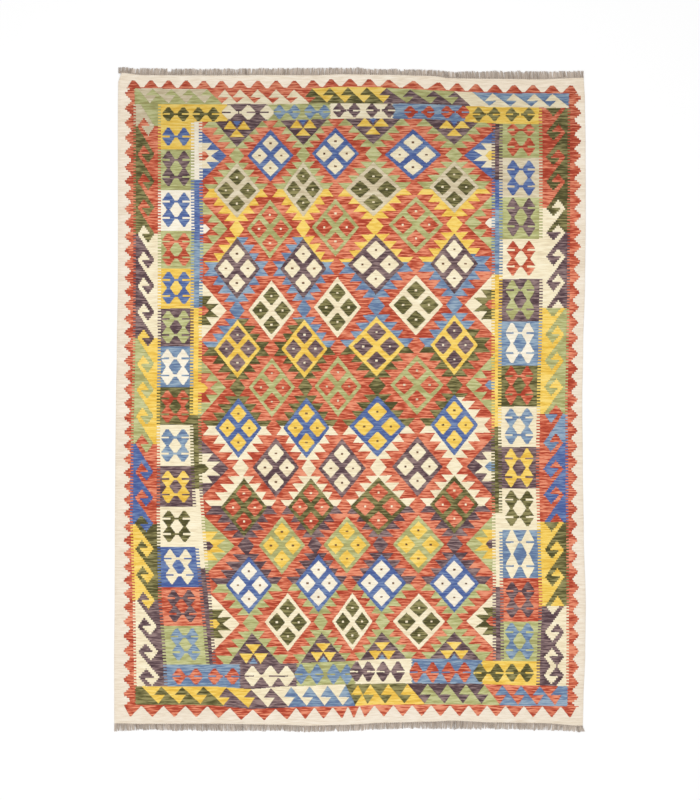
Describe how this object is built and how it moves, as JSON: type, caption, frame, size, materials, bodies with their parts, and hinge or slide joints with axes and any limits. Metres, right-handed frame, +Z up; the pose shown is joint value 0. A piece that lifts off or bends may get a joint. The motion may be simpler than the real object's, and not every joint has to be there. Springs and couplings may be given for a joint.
{
  "type": "kilim rug",
  "caption": "Flat-woven wool rug with a traditional diamond field, patchwork borders and short cut warp ends, lying flat on the floor.",
  "frame": {"origin": "on the floor, under the middle of the whole rug with its fringes", "axes": "+Y runs along the warp towards the head, the end at the top of the picture; +X runs across to the right; +Z is up, out of the cloth"},
  "size_m": [2.0668, 2.9148, 0.0035],
  "materials": {
    "kilim_weave": "flat-woven wool in many colours, ribbed along the warp, matt",
    "warp_ends": "undyed grey-brown warp threads, knotted and cut short, matt"
  },
  "bodies": {
    "root": {"cloth": "kilim_weave", "fringe_foot": "warp_ends", "fringe_head": "warp_ends"}
  },
  "joints": []
}
